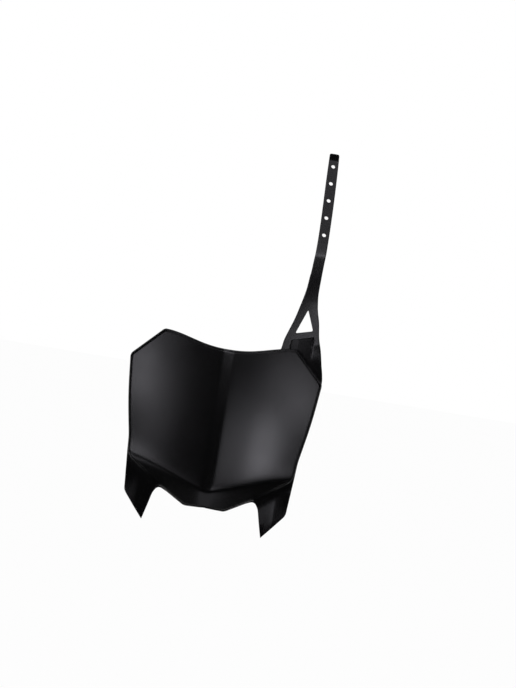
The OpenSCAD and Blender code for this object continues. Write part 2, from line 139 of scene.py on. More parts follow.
def makeCamera(view):
    data = bpy.data.cameras.new("photoCamera")
    data.sensor_fit = "VERTICAL"
    data.sensor_height = 24.0
    data.lens = data.sensor_height * view["distance"] / view["frameHeight"]
    data.clip_end = 50.0
    rise, turn, roll = (math.radians(view[key]) for key in ("rise", "turn", "roll"))
    forward = Vector((math.sin(turn) * math.cos(rise), math.cos(turn) * math.cos(rise), -math.sin(rise)))
    level = Vector((math.cos(turn), -math.sin(turn), 0.0))
    upright = level.cross(forward)
    right = level * math.cos(roll) + upright * math.sin(roll)
    up = right.cross(forward)
    camera = bpy.data.objects.new("photoCamera", data)
    basis = Matrix((right, up, -forward)).transposed().to_4x4()
    camera.matrix_world = Matrix.Translation(Vector(view["middle"]) - forward * view["distance"]) @ basis
    scene.collection.objects.link(camera)
    scene.camera = camera


makeCamera(cameraView)
print("camera is set")


# Sizes of the board in millimetres, as in the solid.

outline = {
    "bodyWidth": 242.5, "cornerHeight": 151.7,   # the solid is 0.5 mm wider, because its corner arcs are coarser
    "hornWidth": 166.6, "hornHeight": 190.3, "topHeight": 178.6, "topShape": 1.3,
    "middleWidth": 232.0, "waistWidth": 213.8, "waistHeight": 51.0,
    "legWidth": 205.4, "legDrop": 20.0, "tipWidth": 151.4, "tipDrop": 52.99,
    "notchWidth": 114.6, "notchDrop": 7.6, "notchRim": 3.8, "chinWidth": 52.4, "chinDrop": 24.9, "chinRise": 2.4,
    "foldStart": 0.785, "faceLow": 0.557,   # shares of the waist's height
    "cornerRound": 11.0, "cornerTurn": 22.0, "faceCornerRound": 18.0, "faceCornerTurn": 28.0,
}

# how far each rounding reaches along its two edges
reach = {"horn": 3.2, "middle": 24.0, "waist": 5.0, "leg": 4.3, "throat": 3.0, "notch": 6.0, "chin": 3.0}

# points of the notch beside the chin, from its deepest place
notchForm = {"legThroat": (9.5, -9.0), "crown": (3.5, 1.2), "chinThroat": (-7.5, -3.6)}

sheetForm = {
    "Wall": 2.4, "Nose Reach": 33.94, "Wing Slope": math.tan(math.radians(13.0)), "Wing Radius": 500.0,
    "Ridge Half": 6.2, "Ridge Softness": 0.9,
    "Bow Radius": 900.0, "Bow Height": 80.0,
    "Chin Slope": math.tan(math.radians(40.0)), "Fold Height": 0.1, "Fold Rise": math.tan(math.radians(19.1)),
    "Fold Round": 9.0, "Fold Droop": 8.0, "Fold Span": 106.9, "Fold Softness": 1.9, "Fold Spread": 2.5,
    "Leg Fold Low": 0.0, "Leg Fold Rise": 0.0,   # both follow from the outline, further down
    "Leg Ease": 0.1, "Leg Crease": 87.0, "Leg Turn": 0.35, "Leg Turn Top": 12.0, "Leg Turn Span": 24.0,
}

rimForm = {
    "rimWidth": 2.6, "faceStep": 1.6, "legStep": 2.8, "legBlend": 14.0,
    "grooveDrop": 1.25, "beadDrop": 0.05, "legBand": 12.0,
}

fineness = 4   # visual steps for each step of the solid


# Plane geometry of the outline, on (x, z) points of the right half.

def tangent(angle):
    return math.tan(math.radians(angle))


def mix(a, b, t):
    return a + (b - a) * t


def ease(t):
    u = np.clip(t, 0.0, 1.0)
    return u * u * (3.0 - 2.0 * u)


def softRamp(t, soft):
    return (t + np.sqrt(t * t + 4.0 * soft * soft)) / 2.0


def foldHeightAt(x):
    f = sheetForm
    return (f["Fold Height"] + f["Fold Rise"] * (np.hypot(x, f["Fold Round"]) - f["Fold Round"])
            - f["Fold Droop"] * (x / f["Fold Span"]) ** 4)


def sweepAt(x):
    f = sheetForm
    wing = softRamp(np.abs(x) - f["Ridge Half"], f["Ridge Softness"])
    return f["Wing Slope"] * wing + x * x / (2 * f["Wing Radius"])


def bowAt(z):
    return (z - sheetForm["Bow Height"]) ** 2 / (2 * sheetForm["Bow Radius"])


def depthAt(x, z):
    # depth of the face above the legs
    soft = sheetForm["Fold Softness"] + sheetForm["Fold Spread"] * (x / sheetForm["Fold Span"]) ** 2
    fold = sheetForm["Chin Slope"] * softRamp(foldHeightAt(x) - z, soft)
    return sweepAt(x) + bowAt(z) - sheetForm["Nose Reach"] + fold


def topHeightAt(x):
    share = np.minimum(1.0, np.abs(x) / (outline["hornWidth"] / 2))
    rise = ((1 - np.cos(math.pi * share)) / 2) ** outline["topShape"]
    return mix(outline["topHeight"], outline["hornHeight"], rise)


def point(x, z):
    return np.array((x, z), dtype=float)


def turned(a, b, c, length, steps):
    # rounds the corner b between a and c
    p = b + (a - b) / np.linalg.norm(a - b) * length
    q = b + (c - b) / np.linalg.norm(c - b) * length
    return [mix(mix(p, b, t), mix(b, q, t), t) for t in np.linspace(0.0, 1.0, steps + 1)]


def keyed(points, first, last):
    # numbers the points from first to last by their run
    points = np.array(points)
    run = np.concatenate(([0.0], np.cumsum(np.linalg.norm(np.diff(points, axis=0), axis=1))))
    return [(mix(first, last, r / run[-1]), p[0], p[1]) for r, p in zip(run, points)]


def track(spans):
    path = list(spans[0])
    for span in spans[1:]:
        path += span[1:]
    return np.array(path)


def along(path, keys):
    return np.stack((np.interp(keys, path[:, 0], path[:, 1]), np.interp(keys, path[:, 0], path[:, 2])), axis=1)


def outerTrack(o):
    n = fineness
    horn = point(o["hornWidth"] / 2, o["hornHeight"])
    corner = point(o["bodyWidth"] / 2, o["cornerHeight"])
    middle = point(o["middleWidth"] / 2, (o["cornerHeight"] + o["waistHeight"]) / 2)
    waist = point(o["waistWidth"] / 2, o["waistHeight"])
    legCorner = point(o["legWidth"] / 2, -o["legDrop"])
    tip = point(o["tipWidth"] / 2, -o["tipDrop"])
    notch = point(o["notchWidth"] / 2, -o["notchDrop"])
    chin = point(o["chinWidth"] / 2, -o["chinDrop"])
    foldEndHeight = waist[1] * o["foldStart"]
    foldEnd = mix(waist, legCorner, (waist[1] - foldEndHeight) / (waist[1] - legCorner[1]))
    legSide = mix(foldEnd, legCorner, 0.3)
    topEdge = [point(x, topHeightAt(x)) for x in horn[0] * np.linspace(0.0, 0.9, 9 * n + 1)]
    hornArc = turned(topEdge[-1], horn, corner, reach["horn"], 4 * n)
    cornerArc = turned(horn, corner, middle, o["cornerRound"] * tangent(o["cornerTurn"]), 8 * n)
    legArc = turned(legSide, legCorner, tip, reach["leg"], 6 * n)
    legThroat, crown, chinThroat = (notch + point(*notchForm[key]) for key in ("legThroat", "crown", "chinThroat"))
    legInner = mix(tip, legThroat, 0.55) + point(-0.2, 0.0)
    notchArc = turned(legThroat, crown, chinThroat, reach["notch"], 4 * n)
    chinArc = turned(chinThroat, chin, point(0.0, -o["chinDrop"]), reach["chin"], 4 * n)
    throatArc = turned(tip + point(-0.5, 3.0), legThroat, notchArc[0], reach["throat"], 2 * n)
    waistArcs = (turned(corner, middle, waist, reach["middle"], 6 * n)
                 + turned(middle, waist, legCorner, reach["waist"], 3 * n))
    path = track([
        keyed(topEdge + hornArc[:2 * n + 1], 0, 1),
        keyed(hornArc[2 * n:] + cornerArc[:4 * n + 1], 1, 2),
        keyed(cornerArc[4 * n:] + waistArcs + [foldEnd], 2, 3),
        keyed([foldEnd, legSide], 3, 4),
        keyed([legSide] + legArc[:3 * n + 1], 4, 5),
        keyed(legArc[3 * n:] + [tip], 5, 6),
        keyed([tip, legInner] + throatArc + notchArc, 6, 7),
        keyed([notchArc[-1], chinThroat] + chinArc[:2 * n + 1], 7, 8),
        keyed(chinArc[2 * n:] + [point(0.0, o["chinRise"] - o["chinDrop"])], 8, 9),
    ])
    return path, foldEnd, notch, chin


def faceTrack(o, foldEnd, notch, chin):
    n = fineness
    side = foldEnd - point(rimForm["rimWidth"], 0.0)
    low = point(side[0] - 1.0, o["waistHeight"] * o["faceLow"])
    notchTop = notch + point(0.0, o["notchRim"])
    chinTop = chin + point(-0.9, rimForm["rimWidth"])
    arc = turned(side, low, notchTop, o["faceCornerRound"] * tangent(o["faceCornerTurn"]), 8 * n)
    chinArc = turned(notchTop, chinTop, point(0.0, chinTop[1]), reach["chin"], 4 * n)
    part, half = mix(low, notchTop, 0.3), mix(low, notchTop, 0.6)
    path = track([
        keyed([side] + arc[:4 * n + 1], 3, 4),
        keyed(arc[4 * n:] + [part], 4, 5),
        keyed([part, half], 5, 6),
        keyed([half, notchTop], 6, 7),
        keyed([notchTop] + chinArc[:2 * n + 1], 7, 8),
        keyed(chinArc[2 * n:] + [point(0.0, chinTop[1] + o["chinRise"])], 8, 9),
    ])
    return path, low, notchTop


# Stations around the right half: over the top, down the side and back along the chin.

topKeys = [0, 0.03, 0.06, 0.09, 0.13, 0.2, 0.3, 0.37, 0.45, 0.54, 0.62, 0.7, 0.79, 0.87, 0.95, 1,
           1.1, 1.35, 1.62, 1.87, 2]
sideKeys = [2, 2.05, 2.14, 2.28, 2.44, 2.6, 2.75, 2.87, 2.94, 2.98, 3, 3.12, 3.35, 3.65, 4]
chinKeys = [4, 4.4, 4.8, 5, 5.2, 5.6, 6, 6.35, 6.7, 6.9, 7, 7.15, 7.35, 7.65, 7.88, 8.05, 8.3, 8.55, 8.71, 8.85, 9]
foldRow = 10 * fineness   # the station at 3, where the chin's fold meets the side
foldStation = 3


def finer(keys):
    places = np.arange(len(keys))
    return np.interp(np.linspace(0, len(keys) - 1, (len(keys) - 1) * fineness + 1), places, keys)


topStations, sideStations, chinStations = finer(topKeys), finer(sideKeys)[1:], finer(chinKeys)[1:]
stations = np.concatenate((topStations, sideStations, chinStations))
columns, rows = len(topStations) - 1, len(sideStations)
half = len(stations) - 1
loop = 2 * half
flip = np.array((-1.0, 1.0))


def outward(ring):
    before = np.concatenate(([ring[1] * flip], ring[:-1]))
    after = np.concatenate((ring[1:], [ring[-2] * flip]))
    way = after - before
    normal = np.stack((-way[:, 1], way[:, 0]), axis=1)
    return normal / np.linalg.norm(normal, axis=1)[:, None]


def inset(ring, distance):
    return ring - outward(ring) * distance


outerPath, foldEnd, notchPoint, chinPoint = outerTrack(outline)
facePath, faceLow, faceNotch = faceTrack(outline, foldEnd, notchPoint, chinPoint)
outerRing = along(outerPath, stations)
rimInner = inset(outerRing, rimForm["rimWidth"])
lowFace = along(facePath, np.maximum(stations, foldStation))
faceRing = np.where((stations < foldStation)[:, None], rimInner, lowFace)
legSlope = (faceNotch[1] - faceLow[1]) / (faceNotch[0] - faceLow[0])
sheetForm["Leg Fold Rise"] = legSlope
sheetForm["Leg Fold Low"] = faceLow[1] - legSlope * faceLow[0] - rimForm["legBand"]


def foldPoints(ring):
    # the grid line that lies along the chin's fold
    end = ring[columns + foldRow]
    k = np.arange(columns + 1)
    share = (ring[k, 0] / ring[columns, 0] + ring[half - k, 0] / ring[columns + rows, 0]) / 2
    x = end[0] * share
    return np.stack((x, mix(foldHeightAt(x), end[1], (k / columns) ** 4)), axis=1)


def halfGrid(ring):
    # fills the right half between the fold, the edge above or below it and the side
    fold = foldPoints(ring)
    k = np.arange(columns + 1)
    u = (k / columns)[:, None]
    grid = []
    for r in range(rows + 1):
        side, sideA = ring[columns + r], ring[columns + foldRow]
        upper = r <= foldRow
        far, sideB = (ring[k], ring[columns]) if upper else (ring[half - k], ring[columns + rows])
        v = (side[1] - sideA[1]) / (sideB[1] - sideA[1])
        grid.append(mix(fold, far, v) + (side - mix(sideA, sideB, v)) * u * u)
    return np.array(grid)


def fullGrid(ring):
    right = halfGrid(ring)
    return np.concatenate((right[:, :0:-1] * flip, right), axis=1).reshape(-1, 2)


def stripRing(near, share):
    # a ring between face and outer edge, from the face's side, or from the outer edge where near is negative
    gap = outerRing - faceRing
    length = np.linalg.norm(gap, axis=1)
    if near < 0:
        distance = length - np.minimum(-near, share * length)
    else:
        distance = np.minimum(near, share * length)
    right = faceRing + gap * (distance / length)[:, None]
    more = (rimForm["legStep"] - rimForm["faceStep"]) * ease((length - rimForm["rimWidth"]) / rimForm["legBlend"])
    ring = np.concatenate((right, right[-2:0:-1] * flip))
    return ring, np.concatenate((more, more[-2:0:-1]))


# The strip around the face, from front to back: place in millimetres, most it may be as a share of the strip's
# width, share of the wall, drop behind the face, share of the legs' extra step. Share 0 lies inside the face.

def stripProfile():
    step, groove, bead, band = (rimForm[key] for key in ("faceStep", "grooveDrop", "beadDrop", "legBand"))
    return [
        (-0.6, 0, 0, 0.03, 0), (-0.32, 0, 0, 0.12, 0), (-0.1, 0, 0, 0.32, 0), (0.03, 0.01, 0, 0.62, 0),
        (0.1, 0.035, 0, groove - 0.2, 0), (0.22, 0.08, 0, groove - 0.03, 0), (0.4, 0.15, 0, groove, 0),
        (0.55, 0.21, 0, groove - 0.06, 0), (0.66, 0.25, 0, groove - 0.25, 0), (0.74, 0.285, 0, bead + 0.7, 0),
        (0.83, 0.32, 0, bead + 0.42, 0), (0.96, 0.37, 0, bead + 0.18, 0), (1.13, 0.435, 0, bead + 0.04, 0),
        (1.3, 0.5, 0, bead, 0), (1.5, 0.575, 0, bead + 0.03, 0), (1.7, 0.65, 0, bead + 0.08, 0),
        (1.88, 0.715, 0, bead + 0.15, 0.01), (2.02, 0.765, 0, bead + 0.28, 0.05),
        (2.14, 0.805, 0, bead + 0.52, 0.15), (2.28, 0.84, 0, bead + 0.95, 0.38), (2.42, 0.865, 0, bead + 1.35, 0.65),
        (2.6, 0.88, 0, step - 0.08, 0.87), (2.85, 0.895, 0, step - 0.02, 0.97), (3.4, 0.9, 0, step, 1),
        (5.0, 0.905, 0, step, 1), (8.0, 0.91, 0, step, 1), (band - 2.5, 0.915, 0, step, 1),
        (band - 0.5, 0.92, 0, step, 1), (band + 2, 0.925, 0, step, 1), (band + 8, 0.93, 0, step, 1),
        (band + 18, 0.935, 0, step, 1), (band + 30, 0.94, 0, step, 1),
        (-1.1, 0.055, 0, step, 1), (-0.75, 0.045, 0, step + 0.06, 1), (-0.4, 0.03, 0, step + 0.22, 1),
        (-0.12, 0.015, 0, step + 0.55, 1), (-0.01, 0.001, 0, step + 0.95, 1),
        (-0.01, 0.001, 1, step - 0.5, 1), (-0.3, 0.1, 1, step - 0.1, 1), (-0.8, 0.2, 1, step, 1),
        (band + 30, 0.7, 1, step, 1), (band + 18, 0.66, 1, step, 1), (band + 8, 0.6, 1, step, 1),
        (band - 0.5, 0.56, 1, step, 1), (7.0, 0.5, 1, step, 1), (3.0, 0.4, 1, step, 1), (0.5, 0.2, 1, step, 1),
    ]


def edgeCells():
    # the grid's points along its edge, in the order of the rings
    wide = 2 * columns + 1
    cells = []
    for i in range(loop):
        j, s = (i, 1) if i <= half else (loop - i, -1)
        if j <= columns:
            cells.append(columns + s * j)
        elif j <= columns + rows:
            cells.append((j - columns) * wide + columns + s * columns)
        else:
            cells.append(rows * wide + columns + s * (half - j))
    return np.array(cells)


def flatMoulding():
    wide = 2 * columns + 1
    front, back = fullGrid(inset(faceRing, 1.2)), fullGrid(inset(faceRing, sheetForm["Wall"]))
    places, drops, walls = [front], [np.zeros(len(front))], [np.zeros(len(front))]
    for near, share, wall, drop, leg in stripProfile():
        if near < 0 and share == 0:
            right = inset(faceRing, -near)
            ring, more = np.concatenate((right, right[-2:0:-1] * flip)), 0.0
        else:
            ring, more = stripRing(near, share)
        places.append(ring)
        drops.append(np.full(loop, drop) + more * leg)
        walls.append(np.full(loop, float(wall)))
    places.append(back)
    drops.append(np.zeros(len(back)))
    walls.append(np.ones(len(back)))

    sheetCount = wide * (rows + 1)
    ringCount = len(places) - 2
    cells = edgeCells()
    backStart = sheetCount + ringCount * loop

    def ringIndex(n):
        if n < 0:
            return cells
        return backStart + cells if n == ringCount else sheetCount + n * loop + np.arange(loop)

    r, k = np.meshgrid(np.arange(rows), np.arange(wide - 1), indexing="ij")
    a = (r * wide + k).ravel()
    quads = np.stack((a, a + wide, a + wide + 1, a + 1), axis=1)
    faces = [quads, quads[:, ::-1] + backStart]
    for n in range(-1, ringCount):
        inner, outer = ringIndex(n), ringIndex(n + 1)
        faces.append(np.stack((inner, np.roll(inner, -1), np.roll(outer, -1), outer), axis=1))
    flat = np.concatenate(places)
    points = np.stack((flat[:, 0], np.zeros(len(flat)), flat[:, 1]), axis=1)
    return points, np.concatenate(faces), np.concatenate(drops), np.concatenate(walls)


def meshObject(name, points, faces):
    mesh = bpy.data.meshes.new(name)
    mesh.from_pydata([tuple(p) for p in points], [], [tuple(int(i) for i in f) for f in faces])
    mesh.update()
    piece = bpy.data.objects.new(name, mesh)
    scene.collection.objects.link(piece)
    return piece


def addAttribute(piece, name, values):
    layer = piece.data.attributes.new(name, "FLOAT", "POINT")
    layer.data.foreach_set("value", np.asarray(values, dtype=np.float32))


# Geometry Nodes: the rule that bends the flat moulding into its swept, bowed and folded form.

def newTree(name, sizes):
    tree = bpy.data.node_groups.new(name, "GeometryNodeTree")
    tree.interface.new_socket("Geometry", in_out="INPUT", socket_type="NodeSocketGeometry")
    tree.interface.new_socket("Geometry", in_out="OUTPUT", socket_type="NodeSocketGeometry")
    for key, value in sizes.items():
        kind = "NodeSocketInt" if isinstance(value, int) else "NodeSocketFloat"
        tree.interface.new_socket(key, in_out="INPUT", socket_type=kind).default_value = value
    return tree, addNode(tree, "NodeGroupInput"), addNode(tree, "NodeGroupOutput")


def depthTree():
    # the same rule as depthAt, with the legs' bands and creases
    tree = bpy.data.node_groups.new("sheetDepth", "GeometryNodeTree")
    for key in ["X", "Z", *sheetForm]:
        tree.interface.new_socket(key, in_out="INPUT", socket_type="NodeSocketFloat")
    tree.interface.new_socket("Depth", in_out="OUTPUT", socket_type="NodeSocketFloat")
    given, result = addNode(tree, "NodeGroupInput"), addNode(tree, "NodeGroupOutput")
    s = {key: Value(given.outputs[key]) for key in ["X", "Z", *sheetForm]}
    x, z = s["X"], s["Z"]
    wing = (x.size() - s["Ridge Half"]).ramp(s["Ridge Softness"])
    sweep = s["Wing Slope"] * wing + x * x / (s["Wing Radius"] * 2.0)
    bow = (z - s["Bow Height"]) ** 2.0 / (s["Bow Radius"] * 2.0)
    rise = (x * x + s["Fold Round"] * s["Fold Round"]).root() - s["Fold Round"]
    share = x / s["Fold Span"]
    foldHeight = s["Fold Height"] + s["Fold Rise"] * rise - s["Fold Droop"] * share ** 4.0
    soft = s["Fold Softness"] + s["Fold Spread"] * share ** 2.0
    fold = s["Chin Slope"] * (foldHeight - z).ramp(soft)
    legFold = s["Leg Fold Low"] + s["Leg Fold Rise"] * x.size()
    legBend = (legFold - z).ramp(s["Fold Softness"]) * (s["Chin Slope"] - s["Leg Ease"])
    below = ((s["Leg Turn Top"] - z) / s["Leg Turn Span"]).ease()
    legTurn = (x.size() - s["Leg Crease"]).ramp(1.0) * below * s["Leg Turn"]
    depth = sweep + bow - s["Nose Reach"] + fold - legBend + legTurn
    tree.links.new(depth.socket, result.inputs["Depth"])
    return tree


def bendTree():
    tree, given, result = newTree("bendMoulding", sheetForm)
    group = depthTree()
    sizes = {key: Value(given.outputs[key]) for key in sheetForm}
    place = addNode(tree, "GeometryNodeInputPosition").outputs[0]
    split = addNode(tree, "ShaderNodeSeparateXYZ", None, {0: Value(place)})
    x, z = Value(split.outputs["X"]), Value(split.outputs["Z"])

    def depth(dx, dz):
        node = addNode(tree, "GeometryNodeGroup", {"node_tree": group}, {**sizes, "X": x + dx, "Z": z + dz})
        return Value(node.outputs["Depth"])

    def stored(name):
        node = addNode(tree, "GeometryNodeInputNamedAttribute", {"data_type": "FLOAT"}, {"Name": name})
        return Value(node.outputs["Attribute"])

    slopeX, slopeZ = depth(0.5, 0.0) - depth(-0.5, 0.0), depth(0.0, 0.5) - depth(0.0, -0.5)
    slant = (slopeX * slopeX + slopeZ * slopeZ + 1.0).root()
    y = depth(0.0, 0.0) + stored("drop") + stored("wallShare") * sizes["Wall"] * slant
    offset = addNode(tree, "ShaderNodeCombineXYZ", None, {"Y": y}).outputs[0]
    moved = addNode(tree, "GeometryNodeSetPosition", None,
                    {"Geometry": Value(given.outputs["Geometry"]), "Offset": Value(offset)})
    scaled = addNode(tree, "GeometryNodeTransform", None,
                     {"Geometry": Value(moved.outputs[0]), "Scale": (mm, mm, mm)})
    finishTree(tree, scaled.outputs[0], result)
    return tree


def finishTree(tree, socket, result):
    real = addNode(tree, "GeometryNodeRealizeInstances", None, {"Geometry": Value(socket)})
    dressed = addNode(tree, "GeometryNodeSetMaterial", None,
                      {"Geometry": Value(real.outputs[0]), "Material": blackPlastic})
    tree.links.new(dressed.outputs[0], result.inputs[0])


def applyTree(piece, tree, sizes):
    modifier = piece.modifiers.new(tree.name, "NODES")
    modifier.node_group = tree
    names = {item.name: item.identifier for item in tree.interface.items_tree if item.in_out == "INPUT"}
    for key, value in sizes.items():
        modifier[names[key]] = value
    bakePiece(piece)


def bakePiece(piece):
    evaluated = piece.evaluated_get(bpy.context.evaluated_depsgraph_get())
    mesh = bpy.data.meshes.new_from_object(evaluated)
    mesh.name = piece.name
    piece.modifiers.clear()
    piece.data = mesh


# Black satin polypropylene with a fine moulded grain.

plasticFinish = {
    "color": (0.0012, 0.0012, 0.0013, 1.0),
    "roughness": 0.24, "cloudSpread": 0.08, "cloudScale": 28.0,   # gloss varies in soft clouds
    "grainSize": 0.00035, "grainDepth": 0.000012, "grainStrength": 0.6,
    "ior": 1.49,
}


def makePlastic(f):
    material = bpy.data.materials.new("blackPlastic")
    material.use_nodes = True
    tree = material.node_tree
    tree.nodes.clear()
    place = Value(addNode(tree, "ShaderNodeTexCoord").outputs["Object"])

    def noise(scale, detail, roughness):
        node = addNode(tree, "ShaderNodeTexNoise", None,
                       {"Vector": place, "Scale": scale, "Detail": detail, "Roughness": roughness})
        return Value(node.outputs["Fac"])

    cloud = noise(f["cloudScale"], 4.0, 0.55)
    grain = noise(0.5 / f["grainSize"], 2.0, 0.5)
    bump = addNode(tree, "ShaderNodeBump", None,
                   {"Height": grain, "Distance": f["grainDepth"], "Strength": f["grainStrength"]})
    shader = addNode(tree, "ShaderNodeBsdfPrincipled", None, {
        "Base Color": f["color"],
        "Roughness": (cloud - 0.5) * f["cloudSpread"] + f["roughness"],
        "Normal": Value(bump.outputs[0]),
        "IOR": f["ior"],
    })
    output = addNode(tree, "ShaderNodeOutputMaterial")
    tree.links.new(shader.outputs[0], output.inputs[0])
    return material


blackPlastic = makePlastic(plasticFinish)


def makeMoulding():
    points, faces, drops, walls = flatMoulding()
    piece = meshObject("moulding", points, faces)
    addAttribute(piece, "drop", drops)
    addAttribute(piece, "wallShare", walls)
    applyTree(piece, bendTree(), sheetForm)
    smoothShade(piece, 40.0)
    return piece


def smoothShade(piece, angle):
    mesh = piece.data
    mesh.polygons.foreach_set("use_smooth", [True] * len(mesh.polygons))
    mesh.set_sharp_from_angle(angle=math.radians(angle))
    mesh.update()


moulding = makeMoulding()
print("moulding is bent:", len(moulding.data.polygons), "faces")


# Ear, open frame and strap: one ribbon with its own edges over the height, in millimetres.

strapForm = {
    "middle": 91.5, "footWidth": 14.4, "tipWidth": 12.4, "frameHeight": 256.0, "leanHeight": 309.0,
    "length": 132.49, "tipLength": 15.0, "lean": 25.0, "thickness": 2.6, "turn": 9.0, "shift": 1.8, "sway": 2.4,
    "earStep": 2.6, "earRoot": 1.3, "earRise": 2.4, "turnAbove": 25.0, "tilt": 14.0, "tiltAbove": 12.0,
    "pocketSlope": 0.11, "pocketStart": 0.8, "pocketTop": 14.6, "pocketEase": 0.075,
    "pocketLeft": 17.4, "pocketRight": 9.9, "pocketWall": 1.1, "barFall": 14.0, "barFallSpan": 22.0,
    "windowWidth": 21.2, "windowHeight": 28.0, "windowLeft": 14.0, "windowApex": 11.2, "windowRound": 2.2,
    "frameBar": 9.5, "edgeRound": 0.9, "tipRound": 2.2, "firstLean": 3.0, "footLean": 10.0, "tipLean": 55.0,
    "holeDiameter": 5.0,
}

holeForm = {"Hole Pitch": 23.8, "Hole Count": 5, "End Distance": 9.0}


def bendHeights(s):
    bend = s["leanHeight"] + s["length"] * math.cos(math.radians(s["lean"]))
    return bend, bend + s["tipLength"] * math.cos(math.radians(s["tipLean"]))


def barEdge(s, side):
    # the strap moves outwards and narrows above its frame: height, share of the shift, share of the narrowing
    edge = []
    for above, move, thin in ((-20, 0.17, 0.15), (-8, 0.5, 0.3), (6, 0.92, 0.45), (24, 1.0, 0.55)):
        width = mix(s["footWidth"], s["tipWidth"], thin)
        edge.append((s["leanHeight"] + above, s["middle"] + s["shift"] * move + side * width / 2))
    return edge


def ribbonEdges(s, o):
    # both edges from the ear's root up, as (height, place) points that follow the corner, the horn and the frame
    corner, cornerHeight = o["bodyWidth"] / 2, o["cornerHeight"]
    horn, hornHeight = o["hornWidth"] / 2, o["hornHeight"]
    frame = s["frameHeight"]
    footLeft, footRight = s["middle"] - s["footWidth"] / 2, s["middle"] + s["footWidth"] / 2
    tipLeft = s["middle"] + s["shift"] - s["sway"] - s["tipWidth"] / 2
    tipRight = tipLeft + s["tipWidth"]
    tip, r = bendHeights(s)[1], s["tipRound"]
    left = [
        (cornerHeight - 17, corner - 20), (cornerHeight - 2, corner - 33), (cornerHeight + 12, corner - 43),
        (hornHeight - 12, horn - 13), (hornHeight - 7, horn - 32.4), (hornHeight - 4, horn - 28.9),
        (hornHeight - 1, horn - 24.9), (hornHeight + 2.5, horn - 22.2), (hornHeight + 7, horn - 20),
        (hornHeight + 15, horn - 18.8), (frame - 35, footLeft - 14.6), (frame - 19, footLeft - 8.6),
        (frame - 3, footLeft - 4.5), (frame + 12, footLeft - 1.7), (frame + 27, footLeft - 0.3),
        *barEdge(s, -1), (tip - r, tipLeft), (tip - r * 0.5, tipLeft + r * 0.13),
        (tip - r * 0.13, tipLeft + r * 0.5), (tip, tipLeft + r),
    ]
    right = [
        (cornerHeight - 17, corner - 3), (cornerHeight - 6, corner - 1.4), (cornerHeight + 2, corner - 0.9),
        (cornerHeight + 10, corner - 1.9), (cornerHeight + 24, corner - 5.2), (cornerHeight + 53, corner - 13.5),
        (frame - 36, footRight + 6.6), (frame - 8, footRight + 1), (frame + 7, footRight - 0.4),
        *barEdge(s, 1), (tip - r, tipRight), (tip - r * 0.5, tipRight - r * 0.13),
        (tip - r * 0.13, tipRight - r * 0.5), (tip, tipRight - r),
    ]
    return np.array(left), np.array(right)


def softLine(keys, heights):
    # a smooth curve through the given edge points, so that the silhouette has no corners
    z, x = keys[:, 0], keys[:, 1]
    step = np.diff(z)
    slope = np.diff(x) / step
    product, total = slope[:-1] * slope[1:], slope[:-1] + slope[1:] + 1e-12
    m = np.concatenate(([slope[0]], np.where(product > 0, 2 * product / total, 0.0), [slope[-1]]))
    i = np.clip(np.searchsorted(z, heights) - 1, 0, len(z) - 2)
    t = (heights - z[i]) / step[i]
    return ((2 * t ** 3 - 3 * t ** 2 + 1) * x[i] + (t ** 3 - 2 * t ** 2 + t) * step[i] * m[i]
            + (3 * t ** 2 - 2 * t ** 3) * x[i + 1] + (t ** 3 - t ** 2) * step[i] * m[i + 1])


def leanAt(s, z):
    # how far the strap leans back: a little in the frame, then three soft bends
    bend = bendHeights(s)[0]
    first, foot, lean, tip = (tangent(s[key]) for key in ("firstLean", "footLean", "lean", "tipLean"))
    return (first * np.maximum(0.0, z - outline["hornHeight"])
            + (foot - first) * softRamp(z - s["frameHeight"] + 2, 1.0)
            + (lean - foot) * softRamp(z - s["leanHeight"], 2.0) + (tip - lean) * softRamp(z - bend, 1.0))


def earDepth(s, x, z):
    # the ear lies a step behind the face and under its rim, and turns into the strap
    o = outline
    turnStart = o["hornHeight"] + s["turnAbove"]
    t = ease((z - turnStart) / (s["leanHeight"] - turnStart))
    low = np.minimum(z, o["hornHeight"])
    swept = mix(sweepAt(x), sweepAt(s["middle"]) + tangent(s["turn"]) * (x - s["middle"]), t)
    beyond = x + z - o["bodyWidth"] / 2 - o["cornerHeight"]
    clear = np.maximum(ease(beyond / 12 + 1), ease((z - topHeightAt(x)) / s["earRise"] + 1))
    drop = mix(s["earRoot"], s["earStep"], clear)
    return swept + bowAt(low) - sheetForm["Nose Reach"] + leanAt(s, z) + drop


def pocketAt(s, x, z):
    # the ear falls back above the face's cut corner; the bar beside the pocket comes forward again
    o = outline
    top = o["hornHeight"] + s["pocketTop"]
    foot = np.minimum(o["hornHeight"], o["bodyWidth"] / 2 + o["cornerHeight"] - x) - 1.0
    left, right = s["middle"] - s["pocketLeft"], s["middle"] + s["pocketRight"]
    fall = s["pocketStart"] * ease((z - foot) / 2) + s["pocketSlope"] * np.maximum(0.0, z - foot)
    fall = fall - s["pocketEase"] * softRamp(z - top + 7, 4.0)
    pocket = fall * (1 - ease((z - top) / 1.0))
    bar = fall * (1 - ease((z - o["hornHeight"] + s["barFall"]) / s["barFallSpan"]))
    wall = s["pocketWall"]
    return ease((x - left) / wall + 0.5) * mix(pocket, bar, ease((x - right) / wall + 0.5))


def tiltAt(s, x, z):
    # the rows of the ribbon tilt around the frame's lower bar
    top = outline["hornHeight"] + s["tiltAbove"]
    share = ease((z - top + 30) / 20) * (1 - ease((z - top - 22) / 22))
    return tangent(s["tilt"]) * (x - s["middle"]) * share


